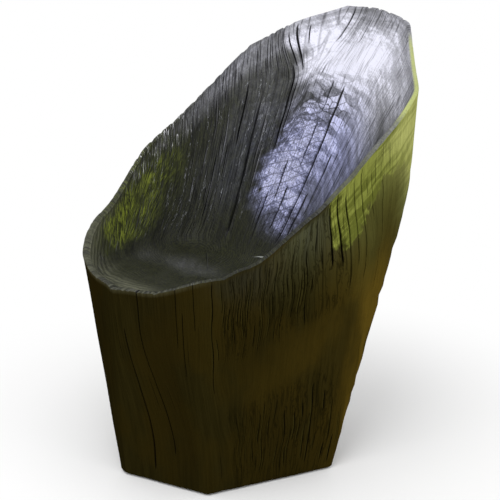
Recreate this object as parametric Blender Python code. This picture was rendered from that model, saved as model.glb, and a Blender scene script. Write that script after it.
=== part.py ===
"""A chair carved from one section of oak trunk.

Flat saw cuts face the outside, a sloping cut opens the top, and one long scoop makes the seat and the high back
behind it. The block stands on six felt glides, each let into a shallow pocket in its underside and held by a screw.

Metres, +Z up. The sitter faces -Y. The origin is on the floor, under the middle of the whole chair.
"""

import math

import bmesh
import bpy
from mathutils import Vector

# The block over its rim: half its width and depth, and the height of the rim in front and behind
BLOCK_HALF_WIDTH = 0.272
BLOCK_HALF_DEPTH = 0.319
FRONT_RIM_HEIGHT = 0.391
BACK_RIM_HEIGHT = 0.849
ARRIS_WIDTH = 0.004
ARRIS_SEGMENTS = 2
ARRIS_LEAST_ANGLE = 8

# The flat saw cuts round the outside. Each row has a name, the heading that it faces in degrees from +X, and how far
# out it stands at the floor and at the height of the back rim, as shares of the oval that the block was sawn from.
SAW_CUT_SHARES = (
    ("front_left", -104.6, 0.944, 1.084),
    ("front_right", -68.7, 0.811, 1.007),
    ("right", -16.4, 0.641, 1.084),
    ("right_corner", 7.4, 0.713, 1.084),
    ("right_shoulder", 17.6, 0.862, 1.085),
    ("back_right_shoulder", 49.5, 0.880, 0.994),
    ("back_right", 60.0, 0.391, 1.146),
    ("back", 85.4, 0.416, 0.977),
    ("back_left", 123.6, 0.570, 0.995),
    ("left", 168.0, 0.665, 1.039),
    ("left_corner", -172.5, 0.744, 1.154),
    ("left_front", -152.4, 0.706, 1.412),
)
TRUNK_SIDES = 48
TRUNK_SHARE = 1.4
TRUNK_RADIUS = TRUNK_SHARE * math.hypot(BLOCK_HALF_WIDTH, BLOCK_HALF_DEPTH)

# The seat: its height at the edge and how far its middle sinks, the walls that it leaves at the sides and in front,
# how far it runs back from its middle, and the cove that turns it up into the walls
SEAT_HEIGHT = 0.378
SEAT_DISH = 0.006
SEAT_SIDE_WALL = 0.055
SEAT_FRONT_WALL = 0.034
SEAT_BACK_REACH = 0.145
SEAT_COVE = 0.050
SEAT_MIDDLE_SHARES = (-0.068, -0.339)
SEAT_CORNER_POWER = 3.0
COVE_TIGHTNESS = 1.6

# The flat lip of the rim, wide in front where arms and knees wear it and narrow on the back, and its outward fall
FRONT_LIP_WIDTH = 0.016
BACK_LIP_WIDTH = 0.009
LIP_FALL = 0.003

# How the rim rises and dips along the sloping cut: the heading from the seat's middle in degrees, and the rise as a
# share of the back rim's height
RIM_WAVE_SHARES = (
    (-165, -0.008),
    (-142, 0.016),
    (-126, -0.015),
    (-97, 0.010),
    (-70, -0.007),
    (-33, 0.013),
    (-14, -0.015),
    (7, -0.005),
    (19, 0.015),
    (45, 0.005),
    (60, -0.004),
    (85, 0.009),
    (96, 0.001),
    (112, 0.012),
    (128, 0.002),
    (150, -0.001),
    (170, 0.005),
)
RIM_ROUNDS = 30

HOLLOW_SIDES = 96
FLOOR_STEPS = 3
COVE_STEPS = 10

# The drying checks that have opened widest: half their width at the face and their depth, how far their ends run out
# above the face, and how far the wedge that cuts them starts clear of it
CHECK_HALF_WIDTH = 0.0015
CHECK_DEPTH = 0.007
CHECK_RUN_OUT = 0.001
CHECK_CLEARANCE = 0.004
CHECK_STEPS = 6
SLOPE_STEP_SHARE = 0.01

# Each check follows the grain through three places. A place is the heading from the seat's middle in degrees, and
# how far up it lies, as a share of the scoop's wall or of the outside.
SCOOP_CHECK_SHARES = (
    ((80.7, 0.34), (83.1, 0.61), (85.6, 0.885)),
    ((108.6, 0.74), (107.9, 0.84), (108.9, 0.93)),
    ((127.7, 0.79), (126.3, 0.86), (125.6, 0.93)),
    ((127.1, 0.38), (123.4, 0.63), (119.6, 0.88)),
    ((103.7, 0.36), (103.4, 0.46), (103.1, 0.56)),
    ((91.3, 0.69), (91.5, 0.745), (91.7, 0.80)),
    ((75.8, 0.41), (76.9, 0.50), (78.0, 0.59)),
    ((73.0, 0.53), (74.4, 0.63), (75.8, 0.73)),
    ((60.9, 0.55), (63.9, 0.70), (67.0, 0.85)),
    ((104.8, 0.915), (108.0, 0.953), (110.8, 0.99)),
    ((98.0, 0.952), (96.6, 0.971), (95.6, 0.99)),
    ((143.7, 0.50), (140.2, 0.65), (136.7, 0.80)),
    ((20.0, 0.45), (24.0, 0.65), (28.0, 0.85)),
    ((-176.0, 0.50), (-177.0, 0.65), (-178.0, 0.80)),
)
SIDE_CHECK_SHARES = (
    ((-62.3, 0.18), (-75.8, 0.59), (-81.8, 0.98)),
    ((-78.4, 0.07), (-82.7, 0.435), (-91.4, 0.80)),
    ((-56.8, 0.72), (-57.1, 0.85), (-57.4, 0.98)),
    ((-26.5, 0.66), (-27.5, 0.81), (-28.0, 0.97)),
    ((-21.5, 0.62), (-21.7, 0.78), (-22.0, 0.95)),
    ((-13.0, 0.66), (-13.2, 0.82), (-13.5, 0.97)),
    ((0.5, 0.60), (-1.5, 0.75), (-4.0, 0.92)),
    ((9.0, 0.62), (7.5, 0.76), (5.0, 0.90)),
    ((-20.5, 0.04), (-21.0, 0.19), (-22.0, 0.34)),
    ((-9.0, 0.06), (-9.5, 0.21), (-10.0, 0.37)),
    ((2.0, 0.04), (2.0, 0.17), (1.5, 0.30)),
    ((15.5, 0.05), (15.0, 0.21), (14.5, 0.37)),
    ((20.2, 0.76), (16.3, 0.88), (13.8, 0.99)),
    ((26.5, 0.66), (22.5, 0.81), (17.2, 0.96)),
    ((32.4, 0.64), (27.7, 0.82), (21.7, 0.99)),
    ((41.0, 0.16), (41.0, 0.28), (41.0, 0.40)),
    ((70.0, 0.30), (70.0, 0.58), (70.0, 0.86)),
    ((84.0, 0.05), (84.0, 0.30), (84.0, 0.55)),
    ((93.0, 0.44), (93.0, 0.70), (93.0, 0.95)),
    ((104.0, 0.10), (104.0, 0.35), (104.0, 0.60)),
    ((117.0, 0.50), (117.0, 0.74), (117.0, 0.98)),
    ((131.0, 0.05), (131.0, 0.25), (131.0, 0.45)),
    ((146.0, 0.35), (146.0, 0.62), (146.0, 0.90)),
    ((160.0, 0.10), (160.0, 0.36), (160.0, 0.62)),
    ((173.0, 0.46), (173.0, 0.72), (173.0, 0.98)),
    ((-172.0, 0.05), (-172.0, 0.28), (-172.0, 0.50)),
    ((-157.0, 0.40), (-157.0, 0.68), (-157.0, 0.96)),
    ((-140.0, 0.10), (-140.0, 0.40), (-140.0, 0.70)),
)

# The glides: a moulded cup in a pocket, a felt disc in the cup and a countersunk screw through the middle
GLIDE_HEADINGS = (
    ("front_left", -104.0),
    ("front_right", -42.0),
    ("right", 31.0),
    ("back_right", 78.0),
    ("back_left", 118.0),
    ("left", 162.0),
)
GLIDE_INSET = 0.050
CUP_RADIUS = 0.015
CUP_HEIGHT = 0.0065
CUP_WALL = 0.0015
CUP_PLATE = 0.0020
CUP_BOSS_RADIUS = 0.0060
CUP_BOSS_HEIGHT = 0.0015
CUP_PROUD = 0.0012
FELT_PROUD = 0.0018
SCREW_SHANK_RADIUS = 0.0020
SCREW_HEAD_RADIUS = 0.0040
SCREW_LENGTH = 0.030
SCREW_POINT_LENGTH = 0.005
TURNED_SIDES = 24

# The gap kept between touching pieces, the length by which each cut runs past what it cuts, and the merge distance
TOUCH_GAP = 0.0003
OVERRUN = 0.050
MERGE_DISTANCE = 0.000001

FLOOR_GAP = CUP_PROUD + FELT_PROUD
FULL_TURN = 360
SHARP_ANGLE = 30

# The finishes: a colour and a roughness each
WOOD_COLOUR = (0.030, 0.027, 0.018)
WOOD_ROUGHNESS = 0.50
CUP_COLOUR = (0.030, 0.030, 0.032)
CUP_ROUGHNESS = 0.45
FELT_COLOUR = (0.110, 0.100, 0.090)
FELT_ROUGHNESS = 0.95
STEEL_COLOUR = (0.560, 0.560, 0.570)
STEEL_ROUGHNESS = 0.35


def clear_scene():
    for obj in list(bpy.data.objects):
        bpy.data.objects.remove(obj)


def material(name, colour, roughness, metal=False):
    """A Principled finish with one colour."""
    finish = bpy.data.materials.new(name)
    finish.use_nodes = True
    shader = finish.node_tree.nodes["Principled BSDF"]
    shader.inputs["Base Color"].default_value = (*colour, 1.0)
    shader.inputs["Roughness"].default_value = roughness
    shader.inputs["Metallic"].default_value = float(metal)
    return finish


def add_object(name, bm, finish=None):
    """The bmesh as an object of that name."""
    mesh = bpy.data.meshes.new(name)
    bm.to_mesh(mesh)
    bm.free()
    obj = bpy.data.objects.new(name, mesh)
    bpy.context.scene.collection.objects.link(obj)
    if finish:
        mesh.materials.append(finish)
    return obj


def as_cutter(obj):
    obj.hide_render = True
    obj.display_type = "WIRE"
    return obj


def cut(obj, cutter, name):
    """Takes the cutter out of the object with a live Boolean."""
    boolean = obj.modifiers.new(name, "BOOLEAN")
    boolean.operation = "DIFFERENCE"
    boolean.solver = "EXACT"
    boolean.object = cutter


# The block's outside

def saw_cuts():
    """Each cut as its level normal, its distance from the block's middle at the floor, and its flare per metre up."""
    cuts = []
    for _, heading, floor_share, rim_share in SAW_CUT_SHARES:
        normal = Vector((math.cos(math.radians(heading)), math.sin(math.radians(heading))))
        oval = math.hypot(BLOCK_HALF_WIDTH * normal.x, BLOCK_HALF_DEPTH * normal.y)
        flare = oval * (rim_share - floor_share) / BACK_RIM_HEIGHT
        cuts.append((normal, oval * floor_share, flare))
    return cuts


SAW_CUTS = saw_cuts()
SEAT_MIDDLE = Vector((SEAT_MIDDLE_SHARES[0] * BLOCK_HALF_WIDTH, SEAT_MIDDLE_SHARES[1] * BLOCK_HALF_DEPTH))


def direction(heading):
    return Vector((math.cos(heading), math.sin(heading)))


def block_reach(heading, height):
    """How far the block reaches from the seat's middle at a height: the nearest saw cut in that heading."""
    ray = direction(heading)
    reaches = []
    for normal, distance, flare in SAW_CUTS:
        if normal.dot(ray) > 0:
            reaches.append((distance + flare * height - normal.dot(SEAT_MIDDLE)) / normal.dot(ray))
    return min(reaches)


def rim_wave(heading):
    """The rim's rise above the sloping cut, eased by a cosine between the two nearest rows of the table."""
    degrees = math.degrees(heading)
    rows = list(RIM_WAVE_SHARES)
    rows.append((rows[0][0] + FULL_TURN, rows[0][1]))
    if degrees < rows[0][0]:
        degrees += FULL_TURN
    for (low, low_share), (high, high_share) in zip(rows, rows[1:]):
        if low <= degrees <= high:
            share = (1 - math.cos(math.pi * (degrees - low) / (high - low))) / 2
            return BACK_RIM_HEIGHT * (low_share + share * (high_share - low_share))


def rim_height(heading):
    """The height where the sloping cut meets the outside. Each round reads the slope where the last one ended."""
    middle = (FRONT_RIM_HEIGHT + BACK_RIM_HEIGHT) / 2
    slope = (BACK_RIM_HEIGHT - FRONT_RIM_HEIGHT) / 2 / BLOCK_HALF_DEPTH
    height = middle
    for _ in range(RIM_ROUNDS):
        back = SEAT_MIDDLE.y + block_reach(heading, height) * math.sin(heading)
        height = (height + middle + slope * back + rim_wave(heading)) / 2
    return height


def sawn_block(finish):
    """A round of trunk with every saw cut taken off it."""
    bm = bmesh.new()
    bmesh.ops.create_cone(
        bm,
        cap_ends=True,
        segments=TRUNK_SIDES,
        radius1=TRUNK_RADIUS,
        radius2=TRUNK_RADIUS,
        depth=BACK_RIM_HEIGHT + OVERRUN - FLOOR_GAP,
    )
    bmesh.ops.translate(bm, verts=bm.verts, vec=(0, 0, (BACK_RIM_HEIGHT + OVERRUN + FLOOR_GAP) / 2))
    for normal, distance, flare in SAW_CUTS:
        cut_edges = bmesh.ops.bisect_plane(
            bm,
            geom=bm.verts[:] + bm.edges[:] + bm.faces[:],
            dist=MERGE_DISTANCE,
            plane_co=(*(normal * distance), 0),
            plane_no=(*normal, -flare),
            clear_outer=True,
        )["geom_cut"]
        edges = [part for part in cut_edges if isinstance(part, bmesh.types.BMEdge)]
        bmesh.ops.contextual_create(bm, geom=edges)
    bmesh.ops.recalc_face_normals(bm, faces=bm.faces)
    block = add_object("carved_block", bm, finish)
    arris = block.modifiers.new("worn_arrises", "BEVEL")
    arris.width = ARRIS_WIDTH
    arris.segments = ARRIS_SEGMENTS
    arris.limit_method = "ANGLE"
    arris.angle_limit = math.radians(ARRIS_LEAST_ANGLE)
    return block


# The scoop for the seat and back

def seat_edge(heading):
    """How far the seat reaches: an oval with squared corners, wider than deep, longer in front than behind."""
    half_width = BLOCK_HALF_WIDTH - SEAT_SIDE_WALL
    front = BLOCK_HALF_DEPTH + SEAT_MIDDLE.y - SEAT_FRONT_WALL
    depth = SEAT_BACK_REACH if math.sin(heading) > 0 else front
    across = abs(math.cos(heading)) / half_width
    along = abs(math.sin(heading)) / depth
    return (across**SEAT_CORNER_POWER + along**SEAT_CORNER_POWER) ** (-1 / SEAT_CORNER_POWER)


def scoop_reaches(heading):
    """How far the flat of the seat, the corner under the wall and the two edges of the lip reach in one heading."""
    outside = block_reach(heading, rim_height(heading))
    behind = (math.sin(heading) + 1) / 2
    lip_width = FRONT_LIP_WIDTH + behind * (BACK_LIP_WIDTH - FRONT_LIP_WIDTH)
    inside = outside - lip_width
    corner = min(seat_edge(heading), inside - lip_width / 2)
    return corner - SEAT_COVE, corner, inside, outside


def wall_point(heading, share):
    """(reach, height) on the scoop's wall: a conic from the seat, drawn to the corner under it, up to the lip."""
    flat, corner, inside, _ = scoop_reaches(heading)
    start, pull, end = (1 - share) ** 2, 2 * COVE_TIGHTNESS * share * (1 - share), share**2
    total = start + pull + end
    reach = (start * flat + pull * corner + end * inside) / total
    height = ((start + pull) * SEAT_HEIGHT + end * rim_height(heading)) / total
    return reach, height


def scoop_profile(heading):
    """(reach, height) points from the seat's middle out to the rim in one heading.

    The seat rises as the square of the reach. Then come the wall and the lip, which falls a little outwards.
    """
    flat, _, _, outside = scoop_reaches(heading)
    points = []
    for step in range(1, FLOOR_STEPS + 1):
        share = step / FLOOR_STEPS
        points.append((flat * share, SEAT_HEIGHT - SEAT_DISH * (1 - share**2)))
    for step in range(1, COVE_STEPS + 1):
        points.append(wall_point(heading, step / COVE_STEPS))
    points.append((outside, rim_height(heading) - LIP_FALL))
    return points


def scoop_cutter():
    """All that the carver takes away: the scoop, and everything above the rim out past the trunk."""
    past_trunk = TRUNK_RADIUS + SEAT_MIDDLE.length + OVERRUN
    top = BACK_RIM_HEIGHT + 2 * OVERRUN
    bm = bmesh.new()
    columns = []
    for side in range(HOLLOW_SIDES):
        heading = math.radians(FULL_TURN * side / HOLLOW_SIDES) - math.pi
        points = scoop_profile(heading)
        points += [(past_trunk, points[-1][1]), (past_trunk, top)]
        column = []
        for reach, height in points:
            place = SEAT_MIDDLE + reach * direction(heading)
            column.append(bm.verts.new((*place, height)))
        columns.append(column)
    lowest = bm.verts.new((*SEAT_MIDDLE, SEAT_HEIGHT - SEAT_DISH))
    highest = bm.verts.new((*SEAT_MIDDLE, top))
    for left, right in zip(columns, columns[1:] + columns[:1]):
        bm.faces.new((lowest, right[0], left[0]))
        bm.faces.new((highest, left[-1], right[-1]))
        for row in range(len(left) - 1):
            bm.faces.new((left[row], right[row], right[row + 1], left[row + 1]))
    bmesh.ops.recalc_face_normals(bm, faces=bm.faces)
    return as_cutter(add_object("scoop_cutter", bm))


# The drying checks

def scoop_face(heading, share):
    """A place on the scoop's wall, and the way out of the wood there, square to the profile."""
    reach, height = wall_point(heading, share)
    before = wall_point(heading, share - SLOPE_STEP_SHARE)
    after = wall_point(heading, share + SLOPE_STEP_SHARE)
    outward = (before[1] - after[1]) * direction(heading)
    place = SEAT_MIDDLE + reach * direction(heading)
    return Vector((*place, height)), Vector((*outward, after[0] - before[0])).normalized()


def side_face(heading, share):
    """A place on the outside, at a share of the height there, and the level way out."""
    height = FLOOR_GAP + share * (rim_height(heading) - FLOOR_GAP)
    place = SEAT_MIDDLE + block_reach(heading, height) * direction(heading)
    return Vector((*place, height)), Vector((*direction(heading), 0))


def along_check(places, share):
    """The heading and the height share on the parabola through a check's three places."""
    low, middle, high = (1 - share) * (1 - 2 * share), 4 * share * (1 - share), share * (2 * share - 1)
    return (low * first + middle * second + high * third for first, second, third in zip(*places))


def add_wedge(bm, face, places):
    """A wedge that follows the grain, sinks into the wood to its full depth half way, and runs out at both ends."""
    flank = CHECK_HALF_WIDTH / CHECK_DEPTH
    rings = []
    for step in range(CHECK_STEPS + 1):
        share = step / CHECK_STEPS
        degrees, up = along_check(places, share)
        heading = math.radians(degrees)
        place, outward = face(heading, up)
        depth = (CHECK_DEPTH + CHECK_RUN_OUT) * 4 * share * (1 - share) - CHECK_RUN_OUT
        mouth = place + CHECK_CLEARANCE * outward
        aside = flank * (CHECK_CLEARANCE + depth) * Vector((-math.sin(heading), math.cos(heading), 0))
        rings.append([bm.verts.new(point) for point in (place - depth * outward, mouth + aside, mouth - aside)])
    for low, high in zip(rings, rings[1:]):
        for corner in range(3):
            after = (corner + 1) % 3
            bm.faces.new((low[corner], low[after], high[after], high[corner]))
    bm.faces.new(rings[0])
    bm.faces.new(rings[-1])


def check_cutter():
    bm = bmesh.new()
    for face, checks in ((scoop_face, SCOOP_CHECK_SHARES), (side_face, SIDE_CHECK_SHARES)):
        for places in checks:
            add_wedge(bm, face, places)
    bmesh.ops.triangulate(bm, faces=bm.faces)
    bmesh.ops.recalc_face_normals(bm, faces=bm.faces)
    return as_cutter(add_object("check_cutter", bm))


# The glides

def turned(bm, profile, place=(0, 0)):
    """Turns a closed outline of (radius, height) points round the upright line through a place on the floor."""
    rings = []
    for radius, height in profile:
        if radius == 0:
            rings.append([bm.verts.new((*place, height))] * TURNED_SIDES)
            continue
        ring = []
        for side in range(TURNED_SIDES):
            spoke = radius * direction(math.radians(FULL_TURN * side / TURNED_SIDES))
            ring.append(bm.verts.new((place[0] + spoke.x, place[1] + spoke.y, height)))
        rings.append(ring)
    for inner, outer in zip(rings, rings[1:] + rings[:1]):
        for side in range(TURNED_SIDES):
            after = (side + 1) % TURNED_SIDES
            corners = dict.fromkeys((inner[side], inner[after], outer[after], outer[side]))
            if len(corners) > 2:
                bm.faces.new(corners)
    bmesh.ops.recalc_face_normals(bm, faces=bm.faces)


def shade_round(obj):
    obj.data.shade_smooth()
    obj.data.set_sharp_from_angle(angle=math.radians(SHARP_ANGLE))
    return obj


# Heights in a glide, from the floor up: the screw's head and the cup's boss start together
CUP_TOP = FELT_PROUD + CUP_HEIGHT
PLATE_UNDERSIDE = CUP_TOP - CUP_PLATE
BOSS_UNDERSIDE = PLATE_UNDERSIDE - CUP_BOSS_HEIGHT
HEAD_TOP = BOSS_UNDERSIDE + SCREW_HEAD_RADIUS - SCREW_SHANK_RADIUS
SCREW_TIP = BOSS_UNDERSIDE + SCREW_LENGTH


def cup_profile():
    """A shallow cup, open downwards, with a boss countersunk for the screw."""
    bore = SCREW_SHANK_RADIUS + TOUCH_GAP
    return (
        (bore, CUP_TOP),
        (bore, HEAD_TOP),
        (SCREW_HEAD_RADIUS + TOUCH_GAP, BOSS_UNDERSIDE),
        (CUP_BOSS_RADIUS, BOSS_UNDERSIDE),
        (CUP_BOSS_RADIUS, PLATE_UNDERSIDE),
        (CUP_RADIUS - CUP_WALL, PLATE_UNDERSIDE),
        (CUP_RADIUS - CUP_WALL, FELT_PROUD),
        (CUP_RADIUS, FELT_PROUD),
        (CUP_RADIUS, CUP_TOP),
    )


def felt_profile():
    """A disc with a hole that lets the driver reach the screw. It stands on the floor."""
    hole = CUP_BOSS_RADIUS + TOUCH_GAP
    edge = CUP_RADIUS - CUP_WALL - TOUCH_GAP
    top = PLATE_UNDERSIDE - TOUCH_GAP
    return ((hole, 0), (edge, 0), (edge, top), (hole, top))


def screw_profile():
    """A countersunk wood screw, head down."""
    return (
        (0, BOSS_UNDERSIDE),
        (SCREW_HEAD_RADIUS, BOSS_UNDERSIDE),
        (SCREW_SHANK_RADIUS, HEAD_TOP),
        (SCREW_SHANK_RADIUS, SCREW_TIP - SCREW_POINT_LENGTH),
        (0, SCREW_TIP),
    )


def pocket_profile():
    """The pocket for the cup and the pilot hole for the screw, run out below the block."""
    pocket = CUP_RADIUS + TOUCH_GAP
    pilot = SCREW_SHANK_RADIUS + TOUCH_GAP
    return (
        (0, FLOOR_GAP - OVERRUN),
        (pocket, FLOOR_GAP - OVERRUN),
        (pocket, CUP_TOP + TOUCH_GAP),
        (pilot, CUP_TOP + TOUCH_GAP),
        (pilot, SCREW_TIP + TOUCH_GAP),
        (0, SCREW_TIP + TOUCH_GAP),
    )


def glide_places():
    """Each glide's name and its place, set in from the corner of the base that its heading points to."""
    for name, degrees in GLIDE_HEADINGS:
        heading = math.radians(degrees)
        yield name, SEAT_MIDDLE + (block_reach(heading, FLOOR_GAP) - GLIDE_INSET) * direction(heading)


def pocket_cutter():
    bm = bmesh.new()
    for _, place in glide_places():
        turned(bm, pocket_profile(), place)
    return as_cutter(add_object("pocket_cutter", bm))


def add_glides():
    """A cup, a felt and a screw for each place, every kind sharing one mesh."""
    kinds = (
        ("cup", cup_profile(), material("moulded_cup", CUP_COLOUR, CUP_ROUGHNESS)),
        ("felt", felt_profile(), material("pressed_felt", FELT_COLOUR, FELT_ROUGHNESS)),
        ("screw", screw_profile(), material("screw_steel", STEEL_COLOUR, STEEL_ROUGHNESS, metal=True)),
    )
    glides = []
    for kind, profile, finish in kinds:
        shared = None
        for name, place in glide_places():
            if shared is None:
                bm = bmesh.new()
                turned(bm, profile)
                obj = shade_round(add_object(f"glide_{kind}_{name}", bm, finish))
                shared = obj.data
            else:
                obj = bpy.data.objects.new(f"glide_{kind}_{name}", shared)
                bpy.context.scene.collection.objects.link(obj)
            obj.location = (*place, 0)
            glides.append(obj)
    return glides


def stand_on_origin(objects, block):
    """Hangs everything on one empty, and moves it so that the block's middle stands over the origin."""
    bpy.context.view_layer.update()
    cut_block = block.evaluated_get(bpy.context.evaluated_depsgraph_get())
    mesh = cut_block.to_mesh()
    across = [vert.co.x for vert in mesh.vertices]
    along = [vert.co.y for vert in mesh.vertices]
    cut_block.to_mesh_clear()
    stand = bpy.data.objects.new("stand", None)
    bpy.context.scene.collection.objects.link(stand)
    stand.location = (-(min(across) + max(across)) / 2, -(min(along) + max(along)) / 2, 0)
    for obj in objects:
        obj.parent = stand


clear_scene()
carved_block = sawn_block(material("blackened_oak", WOOD_COLOUR, WOOD_ROUGHNESS))
scoop = shade_round(scoop_cutter())
checks = check_cutter()
pockets = pocket_cutter()
cut(carved_block, scoop, "seat_and_back")
cut(carved_block, checks, "drying_checks")
cut(carved_block, pockets, "glide_pockets")
stand_on_origin([carved_block, scoop, checks, pockets] + add_glides(), carved_block)
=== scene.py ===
import bpy
import numpy as np
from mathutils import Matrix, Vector
from mathutils.geometry import tessellate_polygon


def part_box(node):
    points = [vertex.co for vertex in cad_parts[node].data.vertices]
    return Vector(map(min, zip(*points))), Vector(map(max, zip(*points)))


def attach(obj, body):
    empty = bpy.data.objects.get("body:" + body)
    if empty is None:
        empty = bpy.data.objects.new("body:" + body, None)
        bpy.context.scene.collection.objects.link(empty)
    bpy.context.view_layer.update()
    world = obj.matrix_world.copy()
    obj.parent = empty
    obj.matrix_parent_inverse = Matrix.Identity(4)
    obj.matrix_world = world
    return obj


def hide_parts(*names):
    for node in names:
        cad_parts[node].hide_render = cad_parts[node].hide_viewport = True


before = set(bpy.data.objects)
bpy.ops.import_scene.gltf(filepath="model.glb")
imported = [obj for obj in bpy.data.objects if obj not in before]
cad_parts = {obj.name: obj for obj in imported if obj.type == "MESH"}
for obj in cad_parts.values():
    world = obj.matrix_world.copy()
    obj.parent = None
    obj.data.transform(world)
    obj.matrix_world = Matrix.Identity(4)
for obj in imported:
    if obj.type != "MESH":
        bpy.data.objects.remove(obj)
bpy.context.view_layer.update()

# The oak block: one length of trunk, stood on end and sawn to flat sides that flare upwards.
# It is hollowed to a seat and a sloping back, blackened and oiled, and has dried for years,
# so that checks have opened all over it, each one running along the grain.
HALF_WIDTH = 0.272
HALF_DEPTH = 0.319
FRONT_RIM = 0.391
BACK_RIM = 0.849
UNDERSIDE = 0.003
WHOLE_TURN = 360
# Each saw cut: the way it faces, and how far out it lies at the floor and at the top, as shares
# of the half width and half depth.
SAW_CUT_SHARES = np.array([
    (-104.6, 0.944, 1.084), (-68.7, 0.811, 1.007), (-16.4, 0.641, 1.084), (7.4, 0.713, 1.084),
    (17.6, 0.862, 1.085), (49.5, 0.880, 0.994), (60.0, 0.391, 1.146), (85.4, 0.416, 0.977),
    (123.6, 0.570, 0.995), (168.0, 0.665, 1.039), (-172.5, 0.744, 1.154), (-152.4, 0.706, 1.412),
])
ARRIS_SHARPNESS = 140
PITH = np.array([-0.068 * HALF_WIDTH, -0.339 * HALF_DEPTH])
# The rim waves a little where the cuts meet it: heading, and rise as a share of the height.
RIM_WAVE_SHARES = np.array([
    (-165, -.008), (-142, .016), (-126, -.015), (-97, .010), (-70, -.007), (-33, .013),
    (-14, -.015), (7, -.005), (19, .015), (45, .005), (60, -.004), (85, .009), (96, .001),
    (112, .012), (128, .002), (150, -.001), (170, .005),
])
RIM_ROUNDS = 30
SEAT_HEIGHT = 0.378
SEAT_DISH = 0.006
SIDE_WALL = 0.055
FRONT_WALL = 0.034
BACK_REACH = 0.145
COVE = 0.050
SEAT_ROUNDNESS = 3.0
COVE_PULL = 1.6
FRONT_LIP = 0.016
BACK_LIP = 0.009
LIP_FALL = 0.003
ROUNDED_EDGE = 0.0025
WORN_LIP_SHARE = 0.35


def ease(share):
    """Climbs smoothly from 0 to 1 as the share goes from 0 to 1, level at both ends."""
    held = np.clip(share, 0, 1)
    return held * held * (3 - 2 * held)


def within(low, high, soft, value):
    """1 between low and high, falling smoothly to 0 over the soft distance outside them."""
    return ease((value - low) / soft + 1) * ease((high - value) / soft + 1)


def ray(heading):
    """Unit vectors along headings in radians, on a last axis of x and y."""
    return np.stack([np.cos(heading), np.sin(heading)], axis=-1)


def saw_cut_reach(heading, height):
    """How far the sawn sides lie from the pith at a heading in radians and a height.

    Each cut is a leaning plane at distance d from the pith, so a ray meets it at d / cos(angle
    between them). The nearest plane counts, and a high power mean of all of them rounds the arris.
    """
    facing = np.radians(SAW_CUT_SHARES[:, 0])
    normal = ray(facing)
    oval = np.hypot(HALF_WIDTH * normal[:, 0], HALF_DEPTH * normal[:, 1])
    low, high = SAW_CUT_SHARES[:, 1], SAW_CUT_SHARES[:, 2]
    distance = oval * (low + (high - low) * np.asarray(height)[..., None] / BACK_RIM) - normal @ PITH
    nearness = np.maximum(np.cos(np.asarray(heading)[..., None] - facing), 0) / distance
    nearest = nearness.max(axis=-1)
    crowd = ((nearness / nearest[..., None]) ** ARRIS_SHARPNESS).sum(axis=-1)
    return 1 / (nearest * crowd ** (1 / ARRIS_SHARPNESS))


def rim_height(heading):
    """The height of the rim: a plane that slopes up to the back, met by the flaring sides, and a wave.

    Its height and how far out it lies depend on each other, and are worked out in turn.
    """
    rows = RIM_WAVE_SHARES
    rows = np.vstack([rows[-1] - (WHOLE_TURN, 0), rows, rows[0] + (WHOLE_TURN, 0)])
    degrees = (np.degrees(heading) + 180) % WHOLE_TURN - 180
    row = np.clip(np.searchsorted(rows[:, 0], degrees) - 1, 0, len(rows) - 2)
    between = (degrees - rows[row, 0]) / (rows[row + 1, 0] - rows[row, 0])
    wave = rows[row, 1] + (rows[row + 1, 1] - rows[row, 1]) * (1 - np.cos(np.pi * between)) / 2
    middle = (FRONT_RIM + BACK_RIM) / 2
    slope = (BACK_RIM - FRONT_RIM) / 2 / HALF_DEPTH
    height = np.full(np.shape(heading), middle)
    for _ in range(RIM_ROUNDS):
        back = PITH[1] + saw_cut_reach(heading, height) * np.sin(heading)
        height = (height + middle + slope * back + wave * BACK_RIM) / 2
    return height


def hollow_profile(heading, stage):
    """Reach and height of the hollow at a heading. Its stages run over the seat, the wall and the lip.

    Stage 0 to 1, the seat, is a shallow dish. From 1 to 2, the wall is a conic arc, drawn from the
    seat's edge towards the corner under it and up to the rim. From 2 to 3, the lip is worn round:
    it climbs from the wall as a quarter of an oval and falls away a little at its outer edge.
    """
    rim = rim_height(heading)
    outside = saw_cut_reach(heading, rim)
    lip = FRONT_LIP + (np.sin(heading) + 1) / 2 * (BACK_LIP - FRONT_LIP)
    inside = outside - lip
    depth = np.where(np.sin(heading) > 0, BACK_REACH, HALF_DEPTH + PITH[1] - FRONT_WALL)
    across = np.abs(np.cos(heading) / (HALF_WIDTH - SIDE_WALL)) ** SEAT_ROUNDNESS
    along = np.abs(np.sin(heading) / depth) ** SEAT_ROUNDNESS
    corner = np.minimum((across + along) ** (-1 / SEAT_ROUNDNESS), inside - lip / 2)
    flat = corner - COVE
    over_seat = np.clip(stage, 0, 1)
    up_wall = np.clip(stage - 1, 0, 1)
    over_lip = np.clip(stage - 2, 0, 1)
    start, pull, end = (1 - up_wall) ** 2, 2 * COVE_PULL * up_wall * (1 - up_wall), up_wall ** 2
    total = start + pull + end
    reach = (start * flat + pull * corner + end * inside) / total
    height = ((start + pull) * SEAT_HEIGHT + end * (rim - WORN_LIP_SHARE * lip)) / total
    reach = np.where(stage < 1, flat * over_seat, reach + over_lip * lip)
    height = np.where(stage < 1, SEAT_HEIGHT - SEAT_DISH * (1 - over_seat ** 2), height)
    climb = WORN_LIP_SHARE * lip * (1 - (1 - over_lip) ** 3) - LIP_FALL * over_lip ** 4
    return reach, height + climb


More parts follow.
